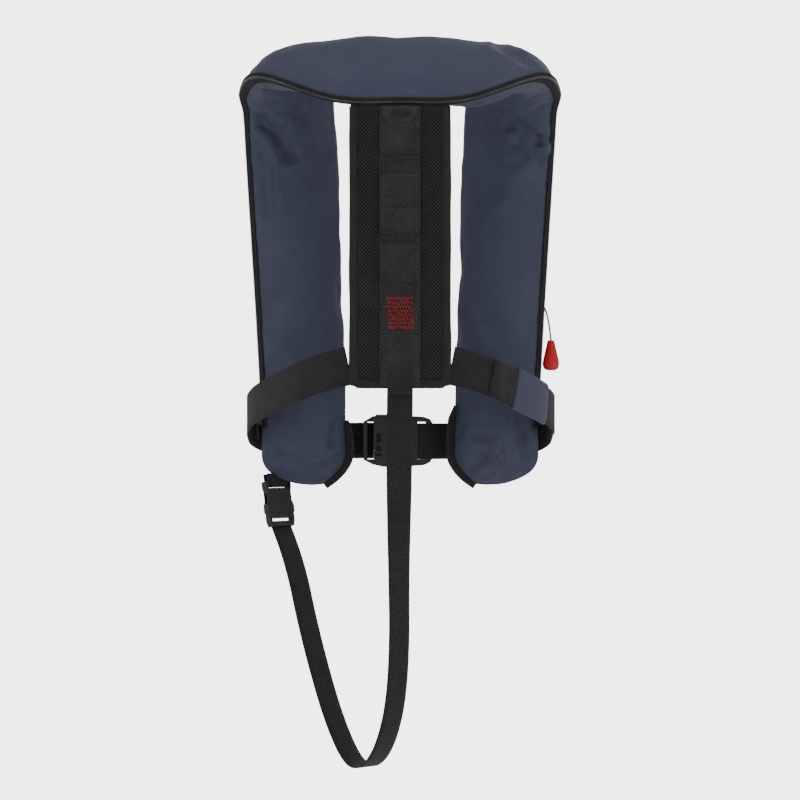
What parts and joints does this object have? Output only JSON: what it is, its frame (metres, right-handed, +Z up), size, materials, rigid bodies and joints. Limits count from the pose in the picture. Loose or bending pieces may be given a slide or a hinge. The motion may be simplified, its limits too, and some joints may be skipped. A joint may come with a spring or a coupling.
{
  "type": "inflatable life jacket",
  "caption": "Folded horseshoe-shaped inflatable life jacket with a mesh back panel, push-button waist belt, crotch strap and pull-toggle gas inflator.",
  "frame": {"origin": "the point on the back of the wearer's neck that the collar rests on, on the jacket's middle plane, 24 mm below the fold of the collar", "axes": "+Z up along the wearer's body, +Y the way the wearer faces, +X to the wearer's right"},
  "size_m": [0.3956, 0.2516, 0.8652],
  "materials": {
    "navy_cloth": "matte",
    "black_webbing": "matte",
    "black_tape": "satin",
    "black_mesh": "matte",
    "black_foam": "matte",
    "red_thread": "satin",
    "bladder_film": "satin",
    "black_zip": "satin",
    "dark_metal": "satin",
    "black_plastic": "satin",
    "red_plastic": "gloss",
    "steel": "brushed",
    "pale_cord": "matte",
    "grey_paint": "satin",
    "pale_plastic": "matte",
    "clear_plastic": "gloss",
    "black_rubber": "matte",
    "orange_plastic": "gloss"
  },
  "bodies": {
    "jacket": {"back_mesh": "black_mesh", "back_pad": "black_foam", "bar_tack": "red_thread", "belt_back": "black_webbing", "belt_left": "black_webbing", "belt_right": "black_webbing", "belt_sleeve": "navy_cloth", "belt_tail": "black_webbing", "bladder": "bladder_film", "bobbin_cap": "clear_plastic", "buckle_housing": "black_plastic", "clip_female": "black_plastic", "clip_tab": "black_webbing", "corner_binding_left": "black_tape", "corner_binding_right": "black_tape", "cover_collar": "navy_cloth", "cover_left_lobe": "navy_cloth", "cover_left_shoulder": "navy_cloth", "cover_right_lobe": "navy_cloth", "cover_right_shoulder": "navy_cloth", "gas_cylinder": "grey_paint", "hanger_loop": "black_webbing", "hanger_patch": "black_tape", "inflator_body": "black_plastic", "latch_pin": "steel", "lever_pin": "steel", "manifold_stem": "steel", "oral_tube": "black_rubber", "oral_valve": "pale_plastic", "panel_edging_bottom": "black_tape", "panel_edging_left": "black_tape", "panel_edging_right": "black_tape", "spine_webbing": "black_webbing", "water_bobbin": "pale_plastic", "whistle": "orange_plastic", "zip_chain": "black_zip"},
    "tongue": {"buckle_tongue": "black_plastic", "belt_stub": "black_webbing"},
    "release_button": {"buckle_button": "red_plastic"},
    "latch": {"buckle_latch": "black_plastic"},
    "strap_clip": {"clip_male": "black_plastic", "crotch_strap": "black_webbing"},
    "toggle": {"pull_toggle": "red_plastic", "pull_cord": "pale_cord"},
    "lever": {"inflator_lever": "black_plastic"},
    "oral_cap": {"oral_cap": "red_plastic"},
    "zip_slider": {"zip_slider": "dark_metal"},
    "zip_pull": {"zip_pull": "dark_metal"},
    "keeper": {"belt_keeper": "black_plastic"}
  },
  "joints": [
    {"name": "tongue_slide", "type": "slide", "parent": "jacket", "child": "tongue", "axis": [1, 0, 0], "range_m": [0, 0.037]},
    {"name": "button_press", "type": "slide", "parent": "jacket", "child": "release_button", "axis": [0, -1, 0], "range_m": [0, 0.0027], "stiffness_N_per_m": 900},
    {"name": "latch_hinge", "type": "hinge", "parent": "jacket", "child": "latch", "pos_m": [-0.029, 0.1271, -0.456], "axis": [0, 0, -1], "range_deg": [0, 12]},
    {"name": "clip_slide", "type": "slide", "parent": "jacket", "child": "strap_clip", "axis": [0.1288, -0.1632, -0.9781], "range_m": [0, 0.032]},
    {"name": "toggle_pull", "type": "slide", "parent": "jacket", "child": "toggle", "axis": [0, 0, -1], "range_m": [0, 0.035], "deforming": ["pull_cord"]},
    {"name": "lever_hinge", "type": "hinge", "parent": "jacket", "child": "lever", "pos_m": [0.1495, 0.099, -0.262], "axis": [0, 1, 0], "range_deg": [0, 95]},
    {"name": "oral_cap_slide", "type": "slide", "parent": "jacket", "child": "oral_cap", "axis": [0, 0, 1], "range_m": [0, 0.014]},
    {"name": "zip_slide", "type": "slide", "parent": "jacket", "child": "zip_slider", "axis": [-0.0624, 0, 0.9981], "range_m": [0, 0.325]},
    {"name": "zip_pull_hinge", "type": "hinge", "parent": "zip_slider", "child": "zip_pull", "pos_m": [-0.17745, 0.099, -0.4319], "axis": [0, 1, 0], "range_deg": [0, 16]},
    {"name": "keeper_slide", "type": "slide", "parent": "jacket", "child": "keeper", "axis": [1, 0, 0], "range_m": [-0.008, 0.008]}
  ],
  "couplings": [
    {"joint": "latch_hinge", "follows": "button_press", "rad_per_m": 74},
    {"joint": "lever_hinge", "follows": "toggle_pull", "rad_per_m": 47}
  ]
}
